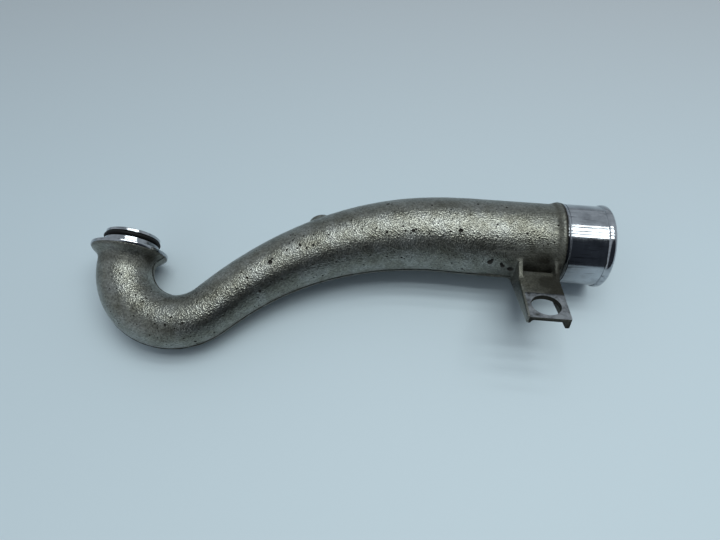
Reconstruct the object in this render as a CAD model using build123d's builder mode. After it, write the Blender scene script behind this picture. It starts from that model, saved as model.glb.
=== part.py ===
from build123d import *
from math import cos, pi, radians, sin, sqrt
import os

os.makedirs("parts", exist_ok=True)

# Charge air pipe of a turbocharged engine: one aluminium casting with a small turned
# spigot and clamp flange at the turbocharger end, a large turned spigot for the hose
# at the other end, and one mounting bracket. Sizes are in millimetres.
#
# Working frame: the centreline lies in the XY plane, which is also the plane where the
# two halves of the mould met. The axis of the hose spigot is X, its mouth is at the
# origin, and the turbocharger spigot points close to +Y.

# Duct
wall = 4.0
hose_pipe_od = 58.6
turbo_pipe_od = 39.2
neck_pipe_od = 41.4
straight_length = 76.1
reverse_radius = 241.0
link_length = 12.0
elbow_radius = 42.0
elbow_angle = 134.2
spigot_angle = 91.2
lead_in = 10.2
taper_overrun = 11.0
taper_ease = 0.35
taper_sections = 9
elbow_sections = 8

# Hose end, from the casting to the mouth
collar_od = 61.8
collar_width = 4.0
collar_round = 1.3
shoulder_od = 60.8
shoulder_length = 2.9
relief_od = 59.2
relief_width = 0.8
hose_spigot_od = 60.0
hose_spigot_length = 25.9
bead_od = 62.0
bead_width = 5.8
mouth_chamfer = 0.8

# Turbocharger end
flange_od = 55.9
flange_thickness = 3.0
flange_edge_round = 1.2
hub_od = 44.2
hub_drop = 7.4
land_od = 39.7
lower_land = 5.3
groove_width = 4.2
groove_floor_od = 35.0
top_land = 2.3
land_chamfer = 0.5
ring_section = 3.5
ring_flat = 0.2

# Boss on the outside of the reverse bend
boss_d = 13.5
boss_height = 2.8
boss_round = 1.0
boss_angle = 22.2

# Mounting bracket: a sloping plate between two side webs
bracket_setback = 52.3
plate_width = 29.3
plate_length = 46.5
plate_thickness = 4.0
plate_slope = 35.0
plate_reach = 69.1
plate_rise = 43.5
web_thickness = 3.5
left_web_depth = 6.5
right_web_depth = 8.8
web_heel_angle = 124.0
gusset_start = 40.8
valley_floor = 6.0
root_wall = 4.0
tip_round = 1.5
pad_length = 24.4
pad_depth = 0.7
hole_d = 20.0
hole_edge_distance = 13.2

# Ridge left where the mould halves met
flash_thickness = 0.9
flash_height = 0.35

# Steps in working out how the pipe lies
rest_rounds = 12
rest_samples = 120

hose_r = hose_pipe_od / 2
turbo_r = turbo_pipe_od / 2
neck_r = neck_pipe_od / 2

# Stations along the hose axis, measured back from the mouth
spigot_start = bead_width + hose_spigot_length
relief_start = spigot_start + relief_width
shoulder_start = relief_start + shoulder_length
collar_start = shoulder_start + collar_width
bend_start = collar_start + straight_length
reverse_angle = elbow_angle - spigot_angle

with BuildLine() as centreline:
    straight = Line((0, 0), (-bend_start, 0))
    reverse_bend = JernArc(straight @ 1, straight % 1, reverse_radius, reverse_angle)
    link = Line(reverse_bend @ 1, reverse_bend @ 1 + link_length * (reverse_bend % 1))
    elbow = JernArc(link @ 1, link % 1, elbow_radius, -elbow_angle)
    neck = Line(elbow @ 1, elbow @ 1 + lead_in * (elbow % 1))

route = centreline.wires()[0]
taper_start = bend_start - taper_overrun
taper_end = bend_start + reverse_bend.length + link_length
elbow_end = taper_end + elbow.length


def station(distance):
    """Plane across the centreline, at a distance along it from the hose mouth."""
    point = route.position_at(distance, position_mode=PositionMode.LENGTH)
    along = route.tangent_at(distance, position_mode=PositionMode.LENGTH)
    return Plane(origin=point, x_dir=(0, 0, 1), z_dir=along)


def pipe_radius(distance):
    """Outer radius of the cast pipe: straight, long taper, then the elbow's slight flare."""
    if distance <= taper_start:
        return hose_r
    if distance <= taper_end:
        t = (taper_end - distance) / (taper_end - taper_start)
        eased = t - taper_ease * sin(2 * pi * t) / (2 * pi)
        return turbo_r + (hose_r - turbo_r) * eased
    return turbo_r + (neck_r - turbo_r) * (distance - taper_end) / elbow.length


def spaced(start, end, count):
    """Distances that divide a stretch of the centreline into equal steps."""
    steps = round(count)
    return [start + (end - start) * i / steps for i in range(steps + 1)]


def duct(inset):
    """Round duct along the whole centreline, smaller by inset all round."""
    with BuildPart() as run:
        with BuildSketch(station(0)):
            Circle(hose_r - inset)
        extrude(amount=taper_start)
        for distance in spaced(taper_start, taper_end, taper_sections):
            with BuildSketch(station(distance)):
                Circle(pipe_radius(distance) - inset)
        loft()
        for distance in spaced(taper_end, elbow_end, elbow_sections):
            with BuildSketch(station(distance)):
                Circle(pipe_radius(distance) - inset)
        loft()
        with BuildSketch(station(elbow_end)):
            Circle(neck_r - inset)
        extrude(amount=lead_in)
    return run.part


def flash():
    """Thin ribbon in the mould's parting plane that stands just proud of the pipe."""
    with BuildPart() as ribbon:
        for start, end, count in (
            (collar_start - collar_width / 2, taper_start, 1),
            (taper_start, taper_end, taper_sections),
            (taper_end, elbow_end, elbow_sections),
            (elbow_end, route.length - flange_thickness, 1),
        ):
            for distance in spaced(start, end, count):
                with BuildSketch(station(distance)):
                    Rectangle(flash_thickness, 2 * (pipe_radius(distance) + flash_height))
            loft()
    return ribbon.part


# The sand core leaves the pipe's wall around it. It runs out through both mouths.
turbo_face = neck @ 1
turbo_dir = neck % 1
turbo_axis = Axis(turbo_face, turbo_dir)
turbo_plane = Plane(origin=turbo_face, x_dir=turbo_dir.cross(Vector(0, 0, 1)), z_dir=(0, 0, 1))
groove_bottom = lower_land
groove_top = lower_land + groove_width
turbo_mouth = groove_top + top_land
turbo_bore_r = turbo_r - wall

with BuildPart() as sand_core:
    add(duct(wall))
    with BuildSketch(turbo_plane):
        with BuildLine():
            Polyline(
                (0, -lead_in),
                (neck_r - wall, -lead_in),
                (turbo_bore_r, 0),
                (turbo_bore_r, turbo_mouth),
                (0, turbo_mouth),
                close=True,
            )
        make_face()
    revolve(axis=turbo_axis)

# Bracket frame: origin in the middle of the tip's front edge, y up the plate towards
# the pipe, z out of its front face
slope = radians(plate_slope)
bracket_plane = Plane(
    origin=(-bracket_setback, -plate_reach, plate_rise),
    x_dir=(1, 0, 0),
    z_dir=(0, sin(slope), cos(slope)),
)


def up_plate(along, out=0.0):
    """Point of the bracket's side view, by distances along and out of the plate's face."""
    y = -plate_reach + along * cos(slope) + out * sin(slope)
    z = plate_rise - along * sin(slope) + out * cos(slope)
    return (y, z)


def on_pipe(angle, radius):
    """Point of the bracket's side view on the pipe, by its angle down from the top."""
    return (-radius * sin(radians(angle)), radius * cos(radians(angle)))


def side_view(x):
    """Plane of the bracket's side view at a distance along the hose axis."""
    return Plane(origin=(x, 0, 0), x_dir=(0, 1, 0), z_dir=(1, 0, 0))


# Boss frame: x along the pipe, y straight out of it
boss_distance = bend_start + reverse_radius * radians(boss_angle)
boss_station = station(boss_distance)
boss_out = boss_station.z_dir.cross(Vector(0, 0, 1))
boss_skin = pipe_radius(boss_distance) - wall / 2
boss_top = pipe_radius(boss_distance) + boss_height
boss_plane = Plane(
    origin=boss_station.origin,
    x_dir=boss_station.z_dir,
    z_dir=boss_station.z_dir.cross(boss_out),
)

gusset_y, gusset_z = up_plate(gusset_start)
edge_y, edge_z = up_plate(plate_length)
back_y, back_z = up_plate(plate_length - root_wall, -plate_thickness)
skin_r = hose_r - wall / 2
left_web_x = -bracket_setback - plate_width / 2
right_web_x = -bracket_setback + plate_width / 2 - web_thickness

with BuildPart() as pipe_casting:
    add(duct(0))
    add(flash())

    # Collar: cast, with rounded edges
    with BuildSketch() as collar:
        with Locations((-collar_start + collar_width / 2, collar_od / 4)):
            Rectangle(collar_width, collar_od / 2)
        fillet(collar.vertices().group_by(Axis.Y)[-1], collar_round)
    revolve(axis=Axis.X)

    # Turned shoulder, relief, plain spigot and the bead that keeps the hose on
    with BuildSketch():
        with BuildLine():
            Polyline(
                (-bead_width, hose_spigot_od / 2),
                (-spigot_start, hose_spigot_od / 2),
                (-spigot_start, relief_od / 2),
                (-relief_start, relief_od / 2),
                (-relief_start, hose_spigot_od / 2),
                (-shoulder_start, shoulder_od / 2),
                (-shoulder_start, 0),
                (0, 0),
                (0, hose_spigot_od / 2 - mouth_chamfer),
                (-mouth_chamfer, hose_spigot_od / 2),
            )
            ThreePointArc(
                (-mouth_chamfer, hose_spigot_od / 2),
                (-(bead_width + mouth_chamfer) / 2, bead_od / 2),
                (-bead_width, hose_spigot_od / 2),
            )
        make_face()
    revolve(axis=Axis.X)

    # Clamp flange with its conical underside, and the turned spigot with its groove
    with BuildSketch(turbo_plane) as turbo_end:
        with BuildLine():
            Polyline(
                (0, -lead_in),
                (neck_r, -lead_in),
                (hub_od / 2, -hub_drop),
                (flange_od / 2, -flange_thickness),
                (flange_od / 2, 0),
                (land_od / 2, 0),
                (land_od / 2, groove_bottom),
                (groove_floor_od / 2, groove_bottom),
                (groove_floor_od / 2, groove_top),
                (land_od / 2, groove_top),
                (land_od / 2, turbo_mouth - land_chamfer),
                (land_od / 2 - land_chamfer, turbo_mouth),
                (0, turbo_mouth),
                close=True,
            )
        make_face()
        fillet(turbo_end.vertices().group_by(Axis.X)[-1], flange_edge_round)
    revolve(axis=turbo_axis)

    # Boss on the outside of the reverse bend
    with BuildSketch(boss_plane) as boss:
        with BuildLine():
            Polyline(
                (0, boss_skin),
                (boss_d / 2, boss_skin),
                (boss_d / 2, boss_top),
                (0, boss_top),
                close=True,
            )
        make_face()
        fillet(boss.vertices().group_by(Axis.Y)[-1].sort_by(Axis.X)[-1], boss_round)
    revolve(axis=Axis(boss_plane.origin, boss_out))

    # Bracket webs, each from the tip to the pipe, with a gusset above the plate
    for web_x, depth in ((left_web_x, left_web_depth), (right_web_x, right_web_depth)):
        with BuildSketch(side_view(web_x)):
            with BuildLine():
                Polyline(
                    up_plate(0),
                    up_plate(gusset_start),
                    (-sqrt(skin_r**2 - gusset_z**2), gusset_z),
                    on_pipe(web_heel_angle, skin_r),
                    up_plate(0, -depth),
                    close=True,
                )
            make_face()
        extrude(amount=web_thickness)

    # Bracket plate, which turns down at its upper edge and meets the pipe below a valley
    with BuildSketch(side_view(left_web_x)):
        with BuildLine():
            Polyline(
                up_plate(0),
                (edge_y, edge_z),
                (edge_y, valley_floor),
                (-sqrt(skin_r**2 - valley_floor**2), valley_floor),
                (-skin_r, -root_wall),
                (back_y, 0),
                (back_y, back_z),
                up_plate(0, -plate_thickness),
                close=True,
            )
        make_face()
    extrude(amount=plate_width)

    # Rounded corners of the tip
    tip_edges = pipe_casting.edges().filter_by(Axis((0, 0, 0), bracket_plane.z_dir))
    plate_right_x = left_web_x + plate_width
    tip_edges = tip_edges.filter_by_position(Axis.X, left_web_x - tip_round, plate_right_x + tip_round)
    fillet([tip_edges.sort_by(Axis.X)[0], tip_edges.sort_by(Axis.X)[-1]], tip_round)

    # Machined pad, cut clear of the tip and both sides, and the hole for the fixing grommet
    with BuildSketch(bracket_plane):
        Rectangle(2 * plate_width, 2 * pad_length)
    extrude(amount=-pad_depth, mode=Mode.SUBTRACT)
    with BuildSketch(bracket_plane):
        with Locations((0, hole_edge_distance)):
            Circle(hole_d / 2)
    extrude(amount=-2 * plate_thickness, mode=Mode.SUBTRACT)

    add(sand_core.part, mode=Mode.SUBTRACT)

# O-ring, pressed a little flat where it sits on the floor of its groove
ring_r = groove_floor_od / 2 + ring_section / 2 - ring_flat
ring_height = (groove_bottom + groove_top) / 2
with BuildPart() as o_ring:
    with BuildSketch(turbo_plane):
        with Locations((ring_r, ring_height)):
            Circle(ring_section / 2)
        with Locations((groove_floor_od / 2 - ring_section / 2, ring_height)):
            Rectangle(ring_section, 2 * ring_section, mode=Mode.SUBTRACT)
    revolve(axis=turbo_axis)


def ring_foot(centre, axis, radius, up):
    """Lowest point of a ring about an axis, when up is the way up."""
    across = up - axis * up.dot(axis)
    return centre - across.normalized() * radius


def elbow_foot(up):
    """Lowest point of the elbow's skin, when up is the way up."""
    feet = []
    for distance in spaced(taper_end, elbow_end, rest_samples):
        feet.append(station(distance).origin - up * pipe_radius(distance))
    return min(feet, key=lambda foot: foot.dot(up))


# Resting place: the pipe lies on its clamp flange, the bead or the collar of the hose end,
# and the underside of its elbow. Each round finds the three feet again, for the floor that
# the round before gave.
flange_rim = turbo_face - turbo_dir * (flange_thickness - flange_edge_round)
collar_rim = Vector(-collar_start + collar_round, 0, 0)
bead_rim = Vector(-(bead_width + mouth_chamfer) / 2, 0, 0)
up = Vector(0, 0, 1)
for _ in range(rest_rounds):
    flange_foot = ring_foot(flange_rim, turbo_dir, flange_od / 2, up)
    collar_foot = ring_foot(collar_rim, Vector(1, 0, 0), collar_od / 2, up)
    bead_foot = ring_foot(bead_rim, Vector(1, 0, 0), bead_od / 2, up)
    hose_foot = min((collar_foot, bead_foot), key=up.dot)
    heel = elbow_foot(up)
    up = (hose_foot - flange_foot).cross(flange_foot - heel).normalized()
floor = Plane(origin=hose_foot, x_dir=Vector(1, 0, 0) - up * up.X, z_dir=up)
lie_down = floor.location.inverse()
box = pipe_casting.part.moved(lie_down).bounding_box()
lie_down = Pos(-box.center().X, -box.center().Y, -box.min.Z) * lie_down
pipe_casting.part.move(lie_down)
o_ring.part.move(lie_down)

pipe_casting.part.label = "pipe_casting"
o_ring.part.label = "o_ring"
export_step(pipe_casting.part, "parts/pipe_casting.step")
export_step(o_ring.part, "parts/o_ring.step")
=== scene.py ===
from math import cos, pi, radians, sin, sqrt

import bmesh
import bpy
import numpy as np
from mathutils import Matrix, Vector, noise


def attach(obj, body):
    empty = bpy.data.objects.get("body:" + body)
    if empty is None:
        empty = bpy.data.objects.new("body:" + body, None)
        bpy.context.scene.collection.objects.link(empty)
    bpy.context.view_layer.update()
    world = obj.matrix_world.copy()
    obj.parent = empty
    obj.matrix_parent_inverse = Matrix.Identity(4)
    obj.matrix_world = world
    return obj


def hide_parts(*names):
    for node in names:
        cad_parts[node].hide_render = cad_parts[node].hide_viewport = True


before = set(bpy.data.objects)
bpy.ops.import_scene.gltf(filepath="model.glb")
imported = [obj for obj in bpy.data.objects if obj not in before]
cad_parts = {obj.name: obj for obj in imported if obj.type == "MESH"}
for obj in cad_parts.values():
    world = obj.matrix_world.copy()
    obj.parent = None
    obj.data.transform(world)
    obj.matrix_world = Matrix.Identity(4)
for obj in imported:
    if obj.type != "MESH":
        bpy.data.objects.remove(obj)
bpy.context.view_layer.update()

# The duct: a charge air pipe cast in aluminium round a sand core, in a mould of two halves
# that met in the plane of its bends. The whole casting is laid out in that plane, in
# millimetres: x runs along the hose spigot, whose mouth is at 0, and z is away from the floor.
mouth_on_table = Vector((193.474, 36.226, 31.087))
# The casting's own three directions, as they lie on the table
plane_x = Vector((0.999991, 0.0, -0.004148))
plane_y = Vector((0.000608, 0.989200, 0.146568))
plane_z = Vector((0.004103, -0.146569, 0.989192))
laid = Matrix((plane_x, plane_y, plane_z)).transposed().to_4x4()
onto_table = Matrix.Translation(mouth_on_table) @ laid
into_metres = Matrix.Scale(0.001, 4) @ onto_table
z_axis = Vector((0, 0, 1))

wall = 4.0
hose_r = 29.3
turbo_r = 19.6
neck_r = 20.7
bend_start = 115.5
reverse_r = 241.0
reverse_turn = radians(43.0)
link = 12.0
elbow_r = 42.0
elbow_turn = radians(134.2)
lead_in = 10.2
taper_lead = 11.0
taper_ease = 0.35
taper_start = bend_start - taper_lead
taper_end = bend_start + reverse_r * reverse_turn + link
elbow_end = taper_end + elbow_r * elbow_turn
route_length = elbow_end + lead_in
duct_runs = (
    (bend_start, 0.0),
    (reverse_r * reverse_turn, 1 / reverse_r),
    (link, 0.0),
    (elbow_r * elbow_turn, -1 / elbow_r),
    (lead_in, 0.0),
)


def on_route(distance):
    """Point and direction of the centreline, at a distance along it from the hose mouth."""
    point, heading = Vector((0.0, 0.0, 0.0)), pi
    for length, curl in duct_runs:
        step = min(distance, length)
        turned = heading + curl * step
        if curl:
            point += Vector((sin(turned) - sin(heading), cos(heading) - cos(turned), 0)) / curl
        else:
            point += step * Vector((cos(heading), sin(heading), 0))
        heading = turned
        distance -= step
        if distance <= 0:
            break
    return point, Vector((cos(heading), sin(heading), 0))


def pipe_r(distance):
    """Outer radius of the cast pipe: straight, long taper, then a slight flare round the elbow."""
    if distance <= taper_start:
        return hose_r
    if distance <= taper_end:
        left = (taper_end - distance) / (taper_end - taper_start)
        return turbo_r + (hose_r - turbo_r) * (left - taper_ease * sin(2 * pi * left) / (2 * pi))
    return turbo_r + (neck_r - turbo_r) * min(1.0, (distance - taper_end) / (elbow_end - taper_end))


def linear(code):
    """An sRGB hex colour as the linear RGBA that Blender reads."""
    parts = [int(code[i:i + 2], 16) / 255 for i in (1, 3, 5)]
    return [c / 12.92 if c <= 0.04045 else ((c + 0.055) / 1.055) ** 2.4 for c in parts] + [1.0]


def node(tree, kind, inputs=None, stops=(), **settings):
    """Adds a node with its settings, its (position, hex colour) stops, and its values and links."""
    made = tree.nodes.new(kind)
    for name, value in settings.items():
        setattr(made, name, value)
    if stops:
        ramp = made.color_ramp.elements
        while len(ramp) < len(stops):
            ramp.new(0.5)
        for stop, (position, code) in zip(ramp, stops):
            stop.position = position
            stop.color = linear(code)
    for key, value in (inputs or {}).items():
        if isinstance(value, bpy.types.NodeSocket):
            tree.links.new(value, made.inputs[key])
        else:
            made.inputs[key].default_value = value
    return made


def start_material(name):
    """An empty material's node tree, with its Principled shader already wired to the output."""
    material = bpy.data.materials.new(name)
    material.use_nodes = True
    material.node_tree.nodes.clear()
    shader = node(material.node_tree, "ShaderNodeBsdfPrincipled")
    node(material.node_tree, "ShaderNodeOutputMaterial", {"Surface": shader.outputs[0]})
    return material, material.node_tree, shader


# Sand-cast aluminium, as cast: the mould's sand leaves a grain of 0.3 to 0.8 mm, drawn here
# at about 1 mm so that it shows. Dull grey metal that sparkles where the light falls on it,
# with black specks, and olive-brown stains where oil and road dirt have dried. The same stain
# colour is also painted shade, where the casting's dirt value holds shade.
cast_aluminium, tree, shader = start_material("sand_cast_aluminium")
grains_per_metre = 950.0  # 1.05 mm each
swells_per_metre = 260.0  # 4 mm, where the sand was rammed unevenly
mottle_per_metre = 75.0  # 13 mm
specks_per_metre = 400.0  # cells of 2.5 mm, of which one in six holds a speck
grain_depth, swell_depth = 0.00027, 0.0004
where = node(tree, "ShaderNodeTexCoord").outputs["Object"]
grain = node(tree, "ShaderNodeTexVoronoi", {"Vector": where, "Scale": grains_per_metre})
swell = node(tree, "ShaderNodeTexNoise", {"Vector": where, "Scale": swells_per_metre, "Detail": 2.0})
mottle = node(tree, "ShaderNodeTexNoise", {
    "Vector": where, "Scale": mottle_per_metre, "Detail": 5.0, "Roughness": 0.62})
tint = node(tree, "ShaderNodeValToRGB", {"Fac": mottle.outputs["Fac"]},
            stops=((0.34, "#75746a"), (0.5, "#888880"), (0.68, "#9a9b96")))
each_grain = node(tree, "ShaderNodeSeparateColor", {"Color": grain.outputs["Color"]})
shade = node(tree, "ShaderNodeMapRange", {
    "Value": each_grain.outputs["Red"], "To Min": 0.55, "To Max": 1.07})
grained = node(tree, "ShaderNodeMix", {
    "Factor": 1.0, "A": tint.outputs["Color"], "B": shade.outputs["Result"]},
    data_type="RGBA", blend_type="MULTIPLY")
specks = node(tree, "ShaderNodeTexVoronoi", {"Vector": where, "Scale": specks_per_metre})
each_speck = node(tree, "ShaderNodeSeparateColor", {"Color": specks.outputs["Color"]})
speck_size = node(tree, "ShaderNodeMapRange", {
    "Value": each_speck.outputs["Red"], "From Min": 0.84, "From Max": 1.0, "To Min": 0.0, "To Max": 0.2})
past_speck = node(tree, "ShaderNodeMath", {
    0: specks.outputs["Distance"], 1: speck_size.outputs["Result"]}, operation="SUBTRACT")
speck = node(tree, "ShaderNodeMapRange", {
    "Value": past_speck.outputs[0], "From Min": -0.05, "From Max": 0.03, "To Min": 0.85, "To Max": 0.0})
specked = node(tree, "ShaderNodeMix", {
    "Factor": speck.outputs["Result"], "A": grained.outputs["Result"], "B": linear("#1d1c19")},
    data_type="RGBA")
grime_and_shade = node(tree, "ShaderNodeAttribute", attribute_name="grime_and_shade")
stain_and_shade = node(tree, "ShaderNodeMath", {0: grime_and_shade.outputs["Fac"], 1: mottle.outputs["Fac"]}, operation="ADD")
patchy = node(tree, "ShaderNodeMapRange", {
    "Value": stain_and_shade.outputs[0], "From Min": 0.62, "From Max": 1.35, "To Min": 0.0, "To Max": 0.95})
stained_and_shaded = node(tree, "ShaderNodeMix", {
    "Factor": patchy.outputs["Result"], "A": specked.outputs["Result"], "B": linear("#1b1912")},
    data_type="RGBA")
tree.links.new(stained_and_shaded.outputs["Result"], shader.inputs["Base Color"])
metallic_left = node(tree, "ShaderNodeMapRange", {"Value": patchy.outputs["Result"], "To Min": 1.0, "To Max": 0.12})
tree.links.new(metallic_left.outputs["Result"], shader.inputs["Metallic"])
dullness = node(tree, "ShaderNodeMapRange", {
    "Value": patchy.outputs["Result"], "To Min": 0.28, "To Max": 0.74})
tree.links.new(dullness.outputs["Result"], shader.inputs["Roughness"])
shader.inputs["Specular IOR Level"].default_value = 0.15
coarse = node(tree, "ShaderNodeBump", {
    "Height": swell.outputs["Fac"], "Strength": 0.45, "Distance": swell_depth})
fine = node(tree, "ShaderNodeBump", {
    "Height": grain.outputs["Distance"], "Strength": 1.0, "Distance": grain_depth,
    "Normal": coarse.outputs["Normal"]})
tree.links.new(fine.outputs["Normal"], shader.inputs["Normal"])


def mesh_object(name, points, faces, material):
    """A new mesh object in one material."""
    mesh = bpy.data.meshes.new(name)
    mesh.from_pydata([tuple(p) for p in points], [], faces)
    mesh.materials.append(material)
    made = bpy.data.objects.new(name, mesh)
    bpy.context.scene.collection.objects.link(made)
    return made


def outwards(obj):
    """Makes every face of a closed mesh point outwards."""
    shape = bmesh.new()
    shape.from_mesh(obj.data)
    bmesh.ops.remove_doubles(shape, verts=shape.verts, dist=1e-5)
    bmesh.ops.recalc_face_normals(shape, faces=shape.faces)
    bmesh.ops.triangulate(shape, faces=shape.faces)
    shape.to_mesh(obj.data)
    shape.free()
    return obj


def plain(obj):
    """Turns an object with its modifiers into a plain mesh object of the same name."""
    bpy.context.view_layer.update()
    mesh = bpy.data.meshes.new_from_object(obj.evaluated_get(bpy.context.evaluated_depsgraph_get()))
    name = obj.name
    bpy.data.objects.remove(obj)
    made = bpy.data.objects.new(name, mesh)
    bpy.context.scene.collection.objects.link(made)
    return made


def grown(obj, tree, values):
    """Runs a Geometry Nodes tree on an object, with its named inputs set, as a plain mesh."""
    change = obj.modifiers.new(tree.name, "NODES")
    change.node_group = tree
    for item in tree.interface.items_tree:
        if item.in_out == "INPUT" and item.name in values:
            change[item.identifier] = values[item.name]
    return plain(obj)


def new_tree(name, named_inputs):
    """An empty Geometry Nodes tree with a geometry input and output, and named inputs."""
    tree = bpy.data.node_groups.new(name, "GeometryNodeTree")
    tree.interface.new_socket("Geometry", in_out="INPUT", socket_type="NodeSocketGeometry")
    for label, kind in named_inputs.items():
        tree.interface.new_socket(label, in_out="INPUT", socket_type=f"NodeSocket{kind}")
    tree.interface.new_socket("Geometry", in_out="OUTPUT", socket_type="NodeSocketGeometry")
    return tree, node(tree, "NodeGroupInput").outputs


def end_tree(tree, geometry, material):
    """Ends a tree in Realize Instances and Set Material."""
    real = node(tree, "GeometryNodeRealizeInstances", {0: geometry})
    coated = node(tree, "GeometryNodeSetMaterial", {"Geometry": real.outputs[0], "Material": material})
    node(tree, "NodeGroupOutput", {0: coated.outputs[0]})


# The round duct follows the centreline at the pipe's own radius, less an inset.
sweep, given = new_tree("duct_sweep", {
    "Inset": "Float", "Facets": "Int", "Closed": "Bool", "Metal": "Material"})
pipe_radius = node(sweep, "GeometryNodeInputRadius")
radius = node(sweep, "ShaderNodeMath", {0: pipe_radius.outputs[0], 1: given["Inset"]}, operation="SUBTRACT")
circle = node(sweep, "GeometryNodeCurvePrimitiveCircle", {"Resolution": given["Facets"], "Radius": 1.0})
tube = node(sweep, "GeometryNodeCurveToMesh", {
    "Curve": given["Geometry"], "Profile Curve": circle.outputs[0], "Scale": radius.outputs[0],
    "Fill Caps": given["Closed"]})
end_tree(sweep, tube.outputs[0], given["Metal"])


def swept(name, start, end, step, inset, facets, material, closed=True):
    """A length of the duct as a tube, between two distances from the hose mouth."""
    count = round((end - start) / step) + 1
    curve = bpy.data.curves.new(name, "CURVE")
    curve.dimensions = "3D"
    line = curve.splines.new("POLY")
    line.points.add(count - 1)
    for i, point in enumerate(line.points):
        distance = start + (end - start) * i / (count - 1)
        place = on_route(distance)[0] if distance > 0 else Vector((-distance, 0, 0))
        point.co = (*place, 1.0)
        point.radius = pipe_r(distance)
    made = bpy.data.objects.new(name, curve)
    bpy.context.scene.collection.objects.link(made)
    return outwards(grown(made, sweep, {
        "Inset": inset, "Facets": facets, "Closed": closed, "Metal": material}))


# The skin starts and ends inside the metal of the two turned ends
skin_step, skin_facets = 1.5, 160
pipe_skin = swept("pipe_casting", start=34.0, end=route_length - 1.6, step=skin_step, inset=0.0,
                  facets=skin_facets, material=cast_aluminium)


# The collar: a ring cast round the pipe, in one with it, where the hose spigot begins, for
# the end of the hose to stop against. It is left as cast, with rounded edges.
def revolved(name, profile, origin, axis, facets, material):
    """A solid of revolution from (along, radius) pairs that start and end on the axis."""
    axis = axis.normalized()
    side = axis.cross(z_axis)
    side = side.normalized() if side.length > 0.01 else Vector((1, 0, 0))
    up = side.cross(axis)
    points, faces = [origin + axis * profile[0][0]], []
    rings = profile[1:-1]
    for along, radius in rings:
        for i in range(facets):
            turn = 2 * pi * i / facets
            points.append(origin + axis * along + (side * cos(turn) + up * sin(turn)) * radius)
    points.append(origin + axis * profile[-1][0])
    tail = 1 + (len(rings) - 1) * facets
    for i in range(facets):
        j = (i + 1) % facets
        faces.append((0, 1 + j, 1 + i))
        for k in range(len(rings) - 1):
            a, b = 1 + k * facets, 1 + (k + 1) * facets
            faces.append((a + i, a + j, b + j, b + i))
        faces.append((tail + i, tail + j, len(points) - 1))
    return outwards(mesh_object(name, points, faces, material))


hose_axis = Vector((1, 0, 0))
hose_mouth = Vector((0, 0, 0))
collar_profile = [(-46.0, 0), (-46.0, 29.0), (-41.5, 29.4), (-39.2, 29.9), (-37.9, 30.6), (-37.0, 30.95),
                  (-35.3, 30.95), (-34.5, 30.7), (-34.1, 30.3), (-34.1, 0)]
collar = revolved("collar", collar_profile, hose_mouth, hose_axis, skin_facets, cast_aluminium)

# The back of the clamp flange: a cone on the neck of the elbow, cast in one with the pipe
# and left as cast. A clamp bears on it and draws the pipe to the turbocharger.
turbo_face, turbo_axis = on_route(route_length)
flange_profile = [(-16.0, 0), (-16.0, 20.3), (-10.2, 20.9), (-7.6, 22.1), (-3.6, 27.0),
                  (-2.9, 27.4), (-1.0, 27.4), (-1.0, 0)]
flange_back = revolved("flange_back", flange_profile, turbo_face, turbo_axis, skin_facets,
                       cast_aluminium)

# The gate stub: a low round boss on the outside of the long bend, where the molten metal ran
# into the mould. The runner was cut off it, and its edge is rounded.
boss_turn = radians(22.2)
boss_distance = bend_start + reverse_r * boss_turn
boss_at, boss_along = on_route(boss_distance)
boss_out = boss_along.cross(z_axis)
boss_rise = 2.1
boss_top = pipe_r(boss_distance) + boss_rise
boss_profile = [(boss_top - 8, 0), (boss_top - 8, 8.4), (boss_top - 2.0, 7.9), (boss_top - 0.8, 7.3),
                (boss_top - 0.2, 6.6), (boss_top, 5.8), (boss_top, 0)]
boss = revolved("boss", boss_profile, boss_at, boss_out, facets=64, material=cast_aluminium)

# The bracket: a sloping plate between two side webs, cast in one with the pipe, that holds
# the pipe to the engine. Each web runs from the outer end of the plate, its tip, to the pipe.
slope = radians(35.0)
tip_x, tip_reach, tip_rise = -52.3, 69.1, 43.5
plate_width, plate_thickness, plate_length = 29.3, 4.0, 48.8
edge_fall = 6.3
web_thickness = 3.5
left_web_depth, right_web_depth = 6.5, 8.8
gusset_along = 40.8
heel_angle = radians(124)  # round the pipe, from its top
skin_r = 27.3
plate_out = Vector((0, sin(slope), cos(slope)))


def up_plate(x, along, out=0.0):
    """Point of the bracket, by distances along and out of the face of its plate."""
    return Vector((x, along * cos(slope) - tip_reach, tip_rise - along * sin(slope))) + out * plate_out


def on_pipe(x, z):
    """Point just under the pipe's skin on the bracket's side, at a height."""
    return Vector((x, -sqrt(skin_r ** 2 - z ** 2), z))


def prism(name, outline, width, material):
    """A solid from an outline of points, pushed out along the hose axis."""
    across = hose_axis * width
    count = len(outline)
    points = list(outline) + [p + across for p in outline]
    faces = [tuple(range(count)), tuple(reversed(range(count, 2 * count)))]
    for i in range(count):
        j = (i + 1) % count
        faces.append((j, i, count + i, count + j))
    return outwards(mesh_object(name, points, faces, material))


left_x, right_x = tip_x - plate_width / 2, tip_x + plate_width / 2
bracket = []
inside_y = -8
for name, x, depth in (("left_web", left_x, left_web_depth),
                       ("right_web", right_x - web_thickness, right_web_depth)):
    gusset = up_plate(x, gusset_along)
    heel = Vector((x, -skin_r * sin(heel_angle), skin_r * cos(heel_angle)))
    web = [up_plate(x, 0), gusset, on_pipe(x, gusset.z), Vector((x, inside_y, gusset.z)),
           Vector((x, inside_y, heel.z)), heel, up_plate(x, 0, -depth)]
    bracket.append(prism(name, web, web_thickness, cast_aluminium))
upper_edge = up_plate(left_x, plate_length)
back = up_plate(left_x, plate_length - edge_fall, -plate_thickness)
root_y, root_top, root_bottom = -20, 6, -4
plate = [up_plate(left_x, 0), upper_edge, Vector((left_x, upper_edge.y, root_top)),
         on_pipe(left_x, root_top), Vector((left_x, root_y, root_top)),
         Vector((left_x, root_y, root_bottom)), on_pipe(left_x, root_bottom),
         Vector((left_x, back.y, 0)), back, up_plate(left_x, 0, -plate_thickness)]
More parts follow.
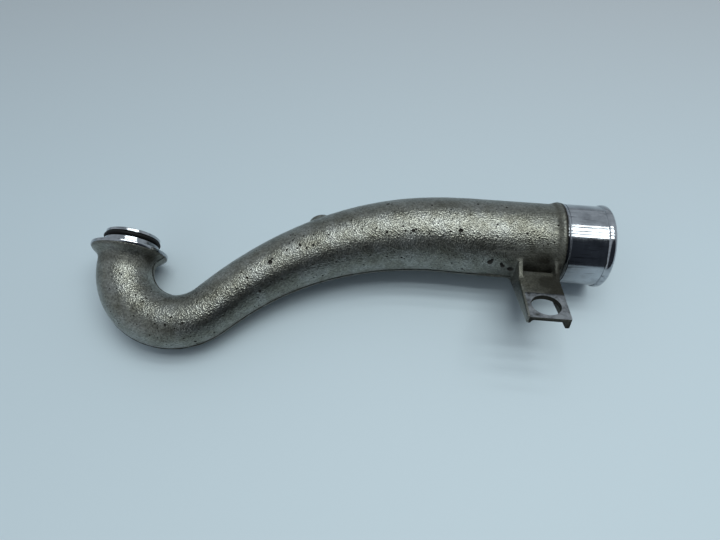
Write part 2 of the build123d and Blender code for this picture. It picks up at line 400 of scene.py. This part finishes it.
bracket.append(prism("plate", plate, plate_width, cast_aluminium))

# The casting's skin: the rough solids above run into each other with the small soft fillets
# of a sand mould, and their faces are nowhere quite true.
rough = [pipe_skin, collar, flange_back, boss] + bracket
with bpy.context.temp_override(active_object=pipe_skin, selected_editable_objects=rough):
    bpy.ops.object.join()
fuse = pipe_skin.modifiers.new("fuse", "REMESH")
fuse.mode = "VOXEL"
fuse.voxel_size = 0.8
soften = pipe_skin.modifiers.new("soften", "SMOOTH")
soften.factor = 0.5
soften.iterations = 5
thin = pipe_skin.modifiers.new("thin", "DECIMATE")
thin.ratio = 0.25
casting = plain(pipe_skin)
count = len(casting.data.vertices)
skin, facing = np.zeros(count * 3), np.zeros(count * 3)
casting.data.vertices.foreach_get("co", skin)
casting.data.vertex_normals.foreach_get("vector", facing)
long_swell, long_height, short_swell, short_height = 22, 0.07, 6, 0.05
swells = [noise.noise(Vector(p) / long_swell) * long_height
          + noise.noise(Vector(p) / short_swell) * short_height for p in skin.reshape(-1, 3)]
casting.data.vertices.foreach_set("co", skin + facing * np.repeat(swells, 3))


# Casting pits: gas and loose sand leave round holes in clusters, half a millimetre to two
# across and the largest about four. Dirt has filled them, so they show nearly black.
def combine(obj, other, operation):
    """Adds or takes away one closed solid, which brings its own material to the cut."""
    change = obj.modifiers.new(operation, "BOOLEAN")
    change.operation = operation
    change.solver = "MANIFOLD"
    change.material_mode = "TRANSFER"
    change.object = other
    made = plain(obj)
    bpy.data.objects.remove(other)
    return made


# Dirt in a casting pit: dry, black-brown and matt, with a crust of grit
pit_dirt, tree, shader = start_material("dirt_in_casting_pit")
grit_per_metre = 1500.0  # 0.7 mm
where = node(tree, "ShaderNodeTexCoord").outputs["Object"]
crust = node(tree, "ShaderNodeTexNoise", {"Vector": where, "Scale": grit_per_metre, "Detail": 2.0})
crusted = node(tree, "ShaderNodeValToRGB", {"Fac": crust.outputs["Fac"]},
               stops=((0.35, "#12110f"), (0.7, "#2b2822")))
tree.links.new(crusted.outputs["Color"], shader.inputs["Base Color"])
shader.inputs["Roughness"].default_value = 0.85

pits, given = new_tree("casting_pits", {
    "Apart": "Float", "Smallest": "Float", "Largest": "Float", "Per Area": "Float", "Seed": "Int",
    "Dirt": "Material"})
clusters_per_mm = 0.045  # 22 mm across
cluster = node(pits, "ShaderNodeTexNoise", {"Scale": clusters_per_mm, "Detail": 2.0})
crowd = node(pits, "ShaderNodeMapRange", {
    "Value": cluster.outputs[0], "From Min": 0.47, "From Max": 0.6, "To Min": 0.1, "To Max": 1.0})
spots = node(pits, "GeometryNodeDistributePointsOnFaces", {
    "Mesh": given["Geometry"], "Distance Min": given["Apart"], "Density Max": given["Per Area"],
    "Density Factor": crowd.outputs["Result"], "Seed": given["Seed"]}, distribute_method="POISSON")
draw = node(pits, "FunctionNodeRandomValue", {8: given["Seed"]})
mostly_small = node(pits, "ShaderNodeMath", {0: draw.outputs[1], 1: 2.5}, operation="POWER")
bubble_r = node(pits, "ShaderNodeMapRange", {
    "Value": mostly_small.outputs[0], "To Min": given["Smallest"], "To Max": given["Largest"]})
squash = node(pits, "FunctionNodeRandomValue", {
    0: (0.65, 0.65, 0.7), 1: (1.3, 1.3, 1.1), 8: given["Seed"]}, data_type="FLOAT_VECTOR")
squashed = node(pits, "ShaderNodeVectorMath", {
    "Vector": squash.outputs[0], "Scale": bubble_r.outputs["Result"]}, operation="SCALE")
bubble = node(pits, "GeometryNodeMeshIcoSphere", {"Radius": 1.0, "Subdivisions": 2})
holes = node(pits, "GeometryNodeInstanceOnPoints", {
    "Points": spots.outputs["Points"], "Instance": bubble.outputs[0],
    "Rotation": spots.outputs["Rotation"], "Scale": squashed.outputs[0]})
end_tree(pits, holes.outputs[0], given["Dirt"])
for seed, apart, smallest, largest, per_area in ((3, 1.6, 0.3, 0.6, 0.03), (8, 2.9, 0.45, 0.85, 0.004)):
    bed = swept("pits", start=47.0, end=elbow_end - 5.0, step=skin_step, inset=0.0, facets=96,
                material=pit_dirt, closed=False)
    scatter = grown(bed, pits, {"Apart": apart, "Smallest": smallest, "Largest": largest,
                                "Per Area": per_area, "Seed": seed, "Dirt": pit_dirt})
    casting = combine(casting, scatter, "DIFFERENCE")
# The plainest ones, by distance from the hose mouth, angle round the pipe and radius
plain_pits = (
    (41.1, 4, 0.7), (43.6, -21, 0.8), (54.3, -16, 0.8), (62.9, -11, 0.8), (69.8, -35, 0.6),
    (73.6, -26, 0.7), (76.7, 31, 0.7), (84.1, -1, 0.8), (93, -3, 0.6), (97.4, 35, 1.0),
    (105.1, -30, 0.7), (117.2, -16, 0.8), (117.2, 19, 0.8), (118.1, 15, 0.6), (130.2, 28, 0.8),
    (132.8, -20, 0.8), (133.1, -36, 0.5), (140.5, -15, 0.7), (146.4, -18, 0.7), (150.5, -14, 0.7),
    (152, -7, 0.7), (154.3, -57, 0.8), (155.9, -20, 0.7), (164.2, -14, 1.0), (166, -53, 0.8),
    (171.2, -5, 0.7), (174.7, -17, 0.6), (179, -47, 0.7), (179.3, 4, 0.7), (187.1, -2, 0.6),
    (187.8, 18, 0.7), (196.5, 15, 0.6), (206.3, 3, 1.0), (214.9, -6, 0.9), (216.4, 13, 0.6),
    (218.9, -6, 0.9), (219.9, -69, 0.8), (223.3, 18, 0.7), (224.3, -39, 0.7), (224.4, -7, 1.1),
    (230.7, -1, 0.8), (234.6, 15, 0.6), (235.9, -11, 0.6), (238.5, 4, 0.7), (250.5, -43, 0.8),
    (258.9, -38, 0.7), (267.3, 3, 0.7), (269.9, -45, 1.0), (272.6, -8, 1.0), (283.3, -31, 0.7),
    (302.6, -46, 0.7), (318.4, -43, 0.6), (323.2, -71, 0.8), (325.6, -19, 0.9), (326.1, -30, 0.6),
    (330.9, -27, 0.7), (332.4, -3, 0.9), (343, -17, 0.6), (349, -3, 0.7), (357.5, -16, 0.7),
    (358.1, 28, 0.8), (361.4, 48, 0.6), (366.8, 20, 0.8), (368.6, 32, 0.6), (389.7, -5, 0.6))
# and the largest, which run into each other
large_pits = (
    (86.4, -57, 1.9), (85.2, -53, 1.3), (76.8, -62.7, 1.8), (78.0, -59, 1.3), (70.7, -67.7, 2.1),
    (109.8, -13.3, 1.5), (144.5, -14.7, 1.3), (142.5, -13, 1.0), (160.3, 41.5, 1.2), (252.7, -2.8, 1.4),
    (250.6, 1.0, 1.0), (231.4, 18.7, 1.0), (228.1, 2.9, 1.2), (336.3, -18.1, 1.1))
chance = np.random.default_rng(5)
sunk = 0.15
for group in [plain_pits] + [(pit,) for pit in large_pits]:
    shape = bmesh.new()
    for distance, angle, pit_r in group:
        at, ahead = on_route(distance)
        away = ahead.cross(z_axis) * sin(radians(angle)) + z_axis * cos(radians(angle))
        stretch = Matrix.Diagonal([pit_r * chance.uniform(0.75, 1.3) for axis in range(3)] + [1])
        turn = Matrix.Rotation(chance.uniform(0, pi), 4, "Z")
        place = Matrix.Translation(at + away * (pipe_r(distance) + pit_r * sunk))
        aim = away.to_track_quat("Z", "Y").to_matrix().to_4x4()
        bmesh.ops.create_icosphere(shape, subdivisions=2, radius=1.0, matrix=place @ aim @ turn @ stretch)
    pit = mesh_object("pit", [], [], pit_dirt)
    shape.to_mesh(pit.data)
    shape.free()
    casting = combine(casting, pit, "DIFFERENCE")

# Flash: a thin ragged ridge of metal that crept out between the halves of the mould, along
# both sides of the pipe, with a broader ledge of it beside the bracket. It is left as cast.
flash_reach, flash_ragged, rag_length = 0.32, 0.3, 5
flash_half, flash_wander, wander_length = 0.4, 0.18, 9
# Each side, and each of these two measures, reads the noise at a place of its own
flash_points, flash_faces = [], []
stations = np.arange(37.5, route_length - 2.0, skin_step)
for i, distance in enumerate(stations):
    at, ahead = on_route(float(distance))
    outside = ahead.cross(z_axis)
    for side in (-1, 1):
        ragged = flash_reach + flash_ragged * noise.noise(Vector((distance / rag_length, side * 7, 0)))
        thick = flash_half + flash_wander * noise.noise(Vector((distance / wander_length, side * 3, 4)))
        for level in (-thick, thick):
            flash_points.append(at + outside * side * (pipe_r(distance) + ragged) + Vector((0, 0, level)))
    if i:
        a, b = 4 * i - 4, 4 * i
        flash_faces += [(a, a + 1, b + 1, b), (a + 1, a + 3, b + 3, b + 1), (a + 3, a + 2, b + 2, b + 3),
                        (a + 2, a, b, b + 2)]
last = len(flash_points) - 4
flash_faces += [(0, 2, 3, 1), (last, last + 1, last + 3, last + 2)]
flash = outwards(mesh_object("flash", flash_points, flash_faces, cast_aluminium))
casting = combine(casting, flash, "UNION")
ledge_x, ledge_length = -92, 17
ledge_outline = [Vector((ledge_x, y, z))
                 for y, z in ((-30.1, -0.9), (-26, -1.4), (-26, 1.4), (-30.1, 0.9))]
ledge = prism("ledge", ledge_outline, ledge_length, cast_aluminium)
casting = combine(casting, ledge, "UNION")

# The hose spigot: turned on a lathe to take the hose, with a bead at its mouth that keeps
# the hose on, and a narrow relief and shoulder against the collar.
bead_centre, bead_half, bead_foot_r, bead_rise, bead_steps = -3.3, 2.5, 30.0, 1.0, 10
bead = [(bead_centre - bead_half * cos(pi * i / bead_steps),
         bead_foot_r + bead_rise * sin(pi * i / bead_steps)) for i in range(bead_steps + 1)]
hose_profile = [
    (-38.0, 0), (-38.0, 29.2), (-34.2, 29.8), (-34.2, 30.6), (-33.1, 30.5), (-32.4, 30.25), (-32.1, 30.0),
    (-32.1, 29.5), (-31.4, 29.5), (-31.4, 30.0)] + bead + [(0.0, 29.2), (0.0, 0)]

# Turned aluminium: bright bare metal with the tool's fine rings round it, a tenth of a
# millimetre apart, drawn several times as coarse here so that they show, and handling marks.
turned_aluminium, tree, shader = start_material("turned_aluminium")
rings_per_mm = 1.6  # 0.6 mm apart
smears_per_metre = 95.0  # 10 mm
scratches_per_metre = (60.0, 1500.0, 300.0)  # 17 mm long, 0.7 mm wide
lathe = node(tree, "ShaderNodeAttribute", attribute_name="lathe")
where = node(tree, "ShaderNodeTexCoord").outputs["Object"]
rings = node(tree, "ShaderNodeTexNoise", {
    "W": lathe.outputs["Fac"], "Scale": rings_per_mm, "Detail": 3.0}, noise_dimensions="1D")
smear = node(tree, "ShaderNodeTexNoise", {
    "Vector": where, "Scale": smears_per_metre, "Detail": 5.0, "Roughness": 0.6})
drawn = node(tree, "ShaderNodeMapping", {
    "Vector": where, "Rotation": (0.5, 0.0, 0.9), "Scale": scratches_per_metre})
scratch = node(tree, "ShaderNodeTexNoise", {"Vector": drawn.outputs["Vector"], "Scale": 1.0, "Detail": 1.0})
scored = node(tree, "ShaderNodeMapRange", {
    "Value": scratch.outputs["Fac"], "From Min": 0.61, "From Max": 0.72})
bright = node(tree, "ShaderNodeValToRGB", {"Fac": smear.outputs["Fac"]},
              stops=((0.3, "#8f9297"), (0.52, "#acafb4"), (0.72, "#bcbfc4")))
worn = node(tree, "ShaderNodeMix", {
    "Factor": scored.outputs["Result"], "A": bright.outputs["Color"], "B": linear("#73767b")},
    data_type="RGBA")
# The casting's dirt value, which also holds painted shade, darkens the turned metal too
grime_and_shade = node(tree, "ShaderNodeAttribute", attribute_name="grime_and_shade")
stain_and_shade = node(tree, "ShaderNodeMath", {0: grime_and_shade.outputs["Fac"], 1: smear.outputs["Fac"]}, operation="ADD")
soiled_and_shaded = node(tree, "ShaderNodeMapRange", {
    "Value": stain_and_shade.outputs[0], "From Min": 0.7, "From Max": 1.3, "To Min": 0.0, "To Max": 0.95})
dirty_and_shaded = node(tree, "ShaderNodeMix", {
    "Factor": soiled_and_shaded.outputs["Result"], "A": worn.outputs["Result"], "B": linear("#2a2823")},
    data_type="RGBA")
tree.links.new(dirty_and_shaded.outputs["Result"], shader.inputs["Base Color"])
tooled = node(tree, "ShaderNodeMath", {0: smear.outputs["Fac"], 1: rings.outputs["Fac"]}, operation="ADD")
sheen = node(tree, "ShaderNodeMapRange", {
    "Value": tooled.outputs[0], "From Min": 0.7, "From Max": 1.35, "To Min": 0.04, "To Max": 0.16})
tree.links.new(sheen.outputs["Result"], shader.inputs["Roughness"])
shader.inputs["Metallic"].default_value = 1.0
ring_depth = 0.00012
ringed = node(tree, "ShaderNodeBump", {
    "Height": rings.outputs["Fac"], "Strength": 0.35, "Distance": ring_depth})
tree.links.new(ringed.outputs["Normal"], shader.inputs["Normal"])

lathe_facets = 192
hose_spigot = revolved("hose_spigot", hose_profile, hose_mouth, hose_axis, lathe_facets,
                       turned_aluminium)
casting = combine(casting, hose_spigot, "UNION")

# The turbocharger spigot: a short round end turned in one with the flange's flat face, with
# a square groove round it for its O-ring and a chamfer at its mouth.
turbo_profile = [
    (-2.4, 0), (-2.4, 27.75), (-2.1, 27.95), (-0.3, 27.95), (0.0, 27.65), (0.0, 20.2), (0.3, 19.85),
    (5.2, 19.85), (5.3, 19.75), (5.3, 17.5), (9.5, 17.5), (9.5, 19.75), (9.6, 19.85), (11.3, 19.85),
    (11.8, 19.35), (11.8, 0)]
turbo_spigot = revolved("turbo_spigot", turbo_profile, turbo_face, turbo_axis, lathe_facets,
                        turned_aluminium)
casting = combine(casting, turbo_spigot, "UNION")

# The hollow that the sand core left, as cast, which follows the outside at the wall's
# thickness, and the short bore at the turbocharger end.
inner_facets = 72
core = swept("core", start=-6.0, end=elbow_end, step=4.0, inset=wall, facets=inner_facets,
             material=cast_aluminium)
casting = combine(casting, core, "DIFFERENCE")
bore_r, bore_past = turbo_r - wall, 20
bore_profile = [(-lead_in - 0.5, 0), (-lead_in - 0.5, neck_r - wall), (0, bore_r),
                (bore_past, bore_r), (bore_past, 0)]
bore = revolved("bore", bore_profile, turbo_face, turbo_axis, inner_facets, cast_aluminium)
casting = combine(casting, bore, "DIFFERENCE")

# The bracket's pad: the outer half of the plate is milled flat for the screw, and a round hole
# goes through it for a rubber grommet. Milled aluminium: flat, dull, and stained in patches.
milled_aluminium, tree, shader = start_material("milled_aluminium")
smears_per_metre = 170.0  # 6 mm
mill_depth = 0.0003
where = node(tree, "ShaderNodeTexCoord").outputs["Object"]
smear = node(tree, "ShaderNodeTexNoise", {
    "Vector": where, "Scale": smears_per_metre, "Detail": 5.0, "Roughness": 0.65})
milled = node(tree, "ShaderNodeValToRGB", {"Fac": smear.outputs["Fac"]},
              stops=((0.36, "#494a45"), (0.47, "#74767a"), (0.62, "#94979a")))
tree.links.new(milled.outputs["Color"], shader.inputs["Base Color"])
shader.inputs["Metallic"].default_value = 0.9
shader.inputs["Roughness"].default_value = 0.45
mill_marks = node(tree, "ShaderNodeBump", {
    "Height": smear.outputs["Fac"], "Strength": 0.3, "Distance": mill_depth})
tree.links.new(mill_marks.outputs["Normal"], shader.inputs["Normal"])
pad_x, pad_top, pad_depth, pad_clear = left_x + 1.7, 24.4, 0.7, 12
pad_outline = [up_plate(pad_x, -pad_clear, -pad_depth), up_plate(pad_x, pad_top, -pad_depth),
               up_plate(pad_x, pad_top + 0.5, pad_clear), up_plate(pad_x, -pad_clear, pad_clear)]
pad = prism("pad", pad_outline, plate_width + 10, milled_aluminium)
casting = combine(casting, pad, "DIFFERENCE")
hole_r, hole_along = 10, 13.2
hole_centre = up_plate(tip_x, hole_along)
hole_profile = [(-14, 0), (-14, hole_r), (6, hole_r), (6, 0)]
hole = revolved("hole", hole_profile, hole_centre, plate_out, inner_facets, cast_aluminium)
casting = combine(casting, hole, "DIFFERENCE")

# Finish of the casting: oil and road dirt have dried on the bracket, along the flash and round
# the collar, and a darker band goes round the neck. The same dark value also paints shade: in
# the pocket where the plate meets the pipe, on the plate's tip, along the flash on the near
# side, behind the flange and on the wall of the hole. The edge of the left web and the upper
# edge of the plate get less of it, as a painted highlight. The lathe's rings follow how far
# along its turned end each point is, in millimetres.
casting.name = "pipe_casting_dressed"
surface = np.zeros(len(casting.data.vertices) * 3)
casting.data.vertices.foreach_get("co", surface)
surface = surface.reshape(-1, 3)
at_x, at_y, at_z = surface.T
along_turbo = (surface - np.array(turbo_face)) @ np.array(turbo_axis)


def patch(centre, reach):
    """How near each point of the casting is to a place, from 0 to 1."""
    gap = np.linalg.norm((surface - np.array(centre)) / np.array(reach), axis=1)
    return np.exp(-gap ** 2)


dirt_and_shade = np.zeros(len(surface))
dirty_and_shaded_places = (
    # the plate of the bracket, dirt, and where the plate meets the pipe, dirt and painted shade in the
    # pocket
    ((-46, -42, 24), (24, 21, 23), 1.1),
    ((-51, -26, 8), (21, 13, 24), 1.0),
    # the ledge of flash, low on the near side: dirt and painted shade
    ((-83.5, -30, 0), (13, 2.5, 2.5), 1.0),
    # the right side of the bracket and its corner, drawn dark, and the tip of the plate, whose end face is
    # dirt and painted shade
    ((right_x, -42, 20), (4.5, 34, 34), 1.0),
    ((right_x, -68, 36), (9, 12, 12), 1.0),
    (up_plate(tip_x, -1, -3), (30, 4, 5), 1.0),
    # round the pipe beside the collar, the foot of the collar, its edge, and the relief
    ((-44, 0, 0), (5, 70, 70), 0.36),
    ((-39.5, 0, 0), (3, 70, 70), 0.75),
    ((-34.9, 0, 0), (1.5, 70, 70), 1.0),
    ((-33.2, -26, 14), (2.4, 24, 22), 1.0),
    # both flanks of the pipe at the bracket: dirt on the far one, and dirt and painted shade on the near
    # one, over the pocket between the webs
    ((-58, 22, 16), (22, 14, 16), 0.3),
    ((-52, -20, 20), (17, 11, 12), 0.95),
    # painted shade behind the flange on the inside of the elbow, and dirt on the gate stub
    ((-339.7, -35, 7.3), (6, 12, 9), 0.9),
    (boss_at + boss_out * boss_top, (9, 9, 9), 0.3))
for centre, reach, strength in dirty_and_shaded_places:
    dirt_and_shade = np.maximum(dirt_and_shade, strength * patch(centre, reach))
# A band round the neck, and a thin line round the back edge of the flange
near_turbo = at_x < -330
for along, reach, strength in ((-12.5, 5.0, 0.46), (-3.2, 1.2, 0.35)):
    dirt_and_shade = np.maximum(dirt_and_shade, strength * np.exp(-((along_turbo - along) / reach) ** 2) * near_turbo)
# The wall of the hole is dark all over: painted shade
from_hole = np.linalg.norm(np.cross(surface - np.array(hole_centre), np.array(plate_out)), axis=1)
in_hole = (from_hole < hole_r + 0.3) & (np.abs(at_x - tip_x) < 11) & (at_y < -40)
dirt_and_shade[in_hole] = 1.0
# Along the flash, but not on the turned ends: dirt on both sides, and painted shade too on the near side,
# where the pipe turns under
flash_dirt_and_shade, flash_dirt_and_shade_reach = 0.95, 0.9
cast_skin = (at_x < -39) & ~(near_turbo & (along_turbo > -2.6))
dirt_and_shade = np.maximum(dirt_and_shade, flash_dirt_and_shade * np.exp(-(at_z / flash_dirt_and_shade_reach) ** 2) * cast_skin)
# Less of it on the edge of the left web and the upper edge of the plate: a painted highlight where these
# edges catch the light
web_edge = (at_x > left_x - 2) & (at_x < left_x + 1.4) & (at_y < -38)
dirt_and_shade[web_edge] *= 0.25
dirt_and_shade *= 1 - 0.75 * patch(up_plate(tip_x - 6, plate_length), (12, 2.0, 2.0))
along_lathe = np.where(at_x > -60, at_x, along_turbo)
for name, values in (("lathe", along_lathe), ("grime_and_shade", dirt_and_shade)):
    layer = casting.data.attributes.new(name, "FLOAT", "POINT")
    layer.data.foreach_set("value", values.astype(np.float32))
casting.data.shade_smooth()
casting.data.set_sharp_from_angle(angle=radians(34))
casting.data.transform(into_metres)
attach(casting, "root")
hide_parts("pipe_casting")

# The O-ring: nitrile rubber, moulded, 3.5 mm thick, stretched into its groove on the small
# spigot, where it sits a little flat on the groove's floor. Black, with a faint oily shine.
nitrile, tree, shader = start_material("nitrile_rubber")
bloom_per_metre = 240.0  # 4 mm
where = node(tree, "ShaderNodeTexCoord").outputs["Object"]
bloom = node(tree, "ShaderNodeTexNoise", {"Vector": where, "Scale": bloom_per_metre, "Detail": 3.0})
black = node(tree, "ShaderNodeValToRGB", {"Fac": bloom.outputs["Fac"]},
             stops=((0.35, "#060607"), (0.7, "#0d0d0e")))
tree.links.new(black.outputs["Color"], shader.inputs["Base Color"])
oily = node(tree, "ShaderNodeMapRange", {"Value": bloom.outputs["Fac"], "To Min": 0.45, "To Max": 0.75})
tree.links.new(oily.outputs["Result"], shader.inputs["Roughness"])
shader.inputs["Specular IOR Level"].default_value = 0.2
ring_section_r, ring_centre_r, ring_along, groove_floor_r = 1.75, 19.05, 7.4, 17.52
around, about = 144, 24
points, faces = [], []
ring_side = turbo_axis.cross(z_axis)
for i in range(around):
    turn = 2 * pi * i / around
    out = ring_side * cos(turn) + z_axis * sin(turn)
    for k in range(about):
        roll = 2 * pi * k / about
        radius = max(groove_floor_r, ring_centre_r + ring_section_r * cos(roll))
        points.append(turbo_face + turbo_axis * (ring_along + ring_section_r * sin(roll)) + out * radius)
        next_i, next_k = (i + 1) % around, (k + 1) % about
        faces.append((i * about + k, i * about + next_k, next_i * about + next_k, next_i * about + k))
o_ring = outwards(mesh_object("o_ring_dressed", points, faces, nitrile))
o_ring.data.transform(into_metres)
o_ring.data.shade_smooth()
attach(o_ring, "root")
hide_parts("o_ring")

# The table that the pipe lies on: a plain sheet in a pale blue-grey satin paint, which looks
# even, with painted shade that makes it a little darker towards its far side.
table_paint, tree, shader = start_material("pale_table_paint")
near_edge, far_edge, floor_reach = -0.22, 0.4, 8
where = node(tree, "ShaderNodeTexCoord").outputs["Object"]
split = node(tree, "ShaderNodeSeparateXYZ", {0: where})
far_shade = node(tree, "ShaderNodeMapRange", {
    "Value": split.outputs["Y"], "From Min": near_edge, "From Max": far_edge})
painted = node(tree, "ShaderNodeValToRGB", {"Fac": far_shade.outputs["Result"]},
               stops=((0.0, "#cbd8df"), (0.45, "#bbc8d0"), (1.0, "#a5aab0")))
tree.links.new(painted.outputs["Color"], shader.inputs["Base Color"])
shader.inputs["Roughness"].default_value = 0.6
corners = [(x * floor_reach, y * floor_reach, 0) for x, y in ((-1, -1), (1, -1), (1, 1), (-1, 1))]
floor = mesh_object("floor", corners, [(0, 1, 2, 3)], table_paint)

# Light: four soft ceiling panels over the table, one behind the other and all equally bright
# for their size, and a pale room that is dim on the viewer's side.
panel_height, panel_x, panel_length, panel_glow = 1.5, 0.4, 1.4, 7.3
panel_colour = (0.93, 1.0, 0.99)
panels = ((0.725, 0.08), (0.418, 0.2), (0.155, 0.1), (-0.068, 0.126))
for number, (panel_y, panel_width) in enumerate(panels):
    lamp = bpy.data.lights.new(f"ceiling_panel_{number}", "AREA")
    lamp.shape = "RECTANGLE"
    lamp.size = panel_length
    lamp.size_y = panel_width
    lamp.color = panel_colour
    lamp.energy = panel_glow * pi * panel_length * panel_width
    made = bpy.data.objects.new(lamp.name, lamp)
    bpy.context.scene.collection.objects.link(made)
    made.location = (panel_x, panel_y, panel_height)
world = bpy.data.worlds.new("room")
bpy.context.scene.world = world
world.use_nodes = True
tree = world.node_tree
tree.nodes.clear()
dim_side, room_glow = (0.5, -0.7, 0.51), 0.76
aim = node(tree, "ShaderNodeTexCoord").outputs["Generated"]
toward = node(tree, "ShaderNodeVectorMath", {0: aim, 1: dim_side}, operation="DOT_PRODUCT")
room = node(tree, "ShaderNodeValToRGB", {"Fac": toward.outputs["Value"]},
            stops=((0.66, "#ccd6dd"), (0.8, "#3a4048")))
glow = node(tree, "ShaderNodeBackground", {"Color": room.outputs["Color"], "Strength": room_glow})
node(tree, "ShaderNodeOutputWorld", {"Surface": glow.outputs[0]})

# The camera stands where the photograph was taken from, with its lens and its tilt, and
# looks down at the pipe from the near side of the table.
frame_width_px, focal_px = 720, 541
lens = bpy.data.cameras.new("camera")
lens.sensor_width = 36
lens.lens = lens.sensor_width * focal_px / frame_width_px
lens.clip_start = 0.01
camera = bpy.data.objects.new("camera", lens)
bpy.context.scene.collection.objects.link(camera)
stands_at = Vector((0.03312, -0.17339, 0.39578))
seen_right = Vector((0.99605, 0.0879, -0.01282))
seen_up = Vector((-0.07362, 0.89764, 0.43454))
seen_back = Vector((0.0497, -0.43188, 0.90056))
tilt = Matrix((seen_right, seen_up, seen_back)).transposed().to_4x4()
camera.matrix_world = Matrix.Translation(stands_at) @ tilt
bpy.context.scene.camera = camera
bpy.context.scene.view_settings.view_transform = "Standard"
